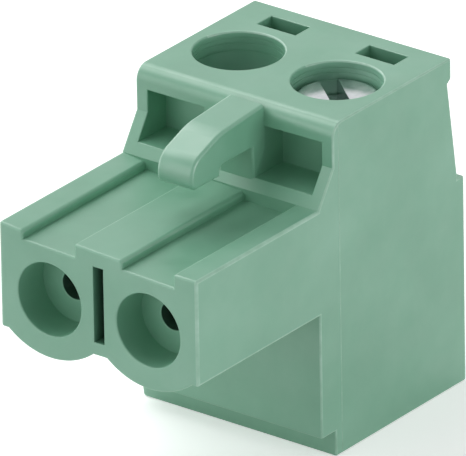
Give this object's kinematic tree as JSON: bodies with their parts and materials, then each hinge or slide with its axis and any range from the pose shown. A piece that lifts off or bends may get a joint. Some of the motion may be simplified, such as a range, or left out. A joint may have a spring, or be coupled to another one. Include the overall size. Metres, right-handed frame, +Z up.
{
  "type": "pluggable terminal block",
  "caption": "Pluggable screw terminal block: a plug with round pin sockets, a latch hook on top and a rising cage clamp under each screw well.",
  "frame": {"origin": "middle of the block's outline, on its base", "axes": "+Z up from the base, +Y from the mating face to the wire side, +X to the right as seen from the mating face"},
  "size_m": [0.0102, 0.0182, 0.015],
  "materials": {
    "housing_plastic": "fine matte moulded plastic, pale grey-green",
    "tin_plate": "tin-plated copper alloy, satin",
    "nickel_plate": "nickel-plated brass, satin",
    "zinc_plate": "bright zinc-plated steel"
  },
  "bodies": {
    "housing": {"front_housing": "housing_plastic", "rear_housing": "housing_plastic", "left_contact": "tin_plate", "right_contact": "tin_plate"},
    "left_screw": {"left_clamp_screw": "zinc_plate"},
    "right_screw": {"right_clamp_screw": "zinc_plate"},
    "left_cage": {"left_clamp_cage": "nickel_plate"},
    "right_cage": {"right_clamp_cage": "nickel_plate"}
  },
  "joints": [
    {"name": "left_screw_turn", "type": "hinge", "parent": "housing", "child": "left_screw", "pos_m": [-0.00254, 0.00385, 0.012], "axis": [0, 0, 1], "range_deg": [0, 2233]},
    {"name": "left_cage_lift", "type": "slide", "parent": "housing", "child": "left_cage", "axis": [0, 0, 1], "range_m": [-0.0031, 0]},
    {"name": "right_screw_turn", "type": "hinge", "parent": "housing", "child": "right_screw", "pos_m": [0.00254, 0.00385, 0.012], "axis": [0, 0, 1], "range_deg": [-2233, 0]},
    {"name": "right_cage_lift", "type": "slide", "parent": "housing", "child": "right_cage", "axis": [0, 0, 1], "range_m": [0, 0.0031]}
  ],
  "couplings": [
    {"joint": "left_screw_turn", "follows": "left_cage_lift", "rad_per_m": -12566},
    {"joint": "right_screw_turn", "follows": "right_cage_lift", "rad_per_m": -12566}
  ]
}
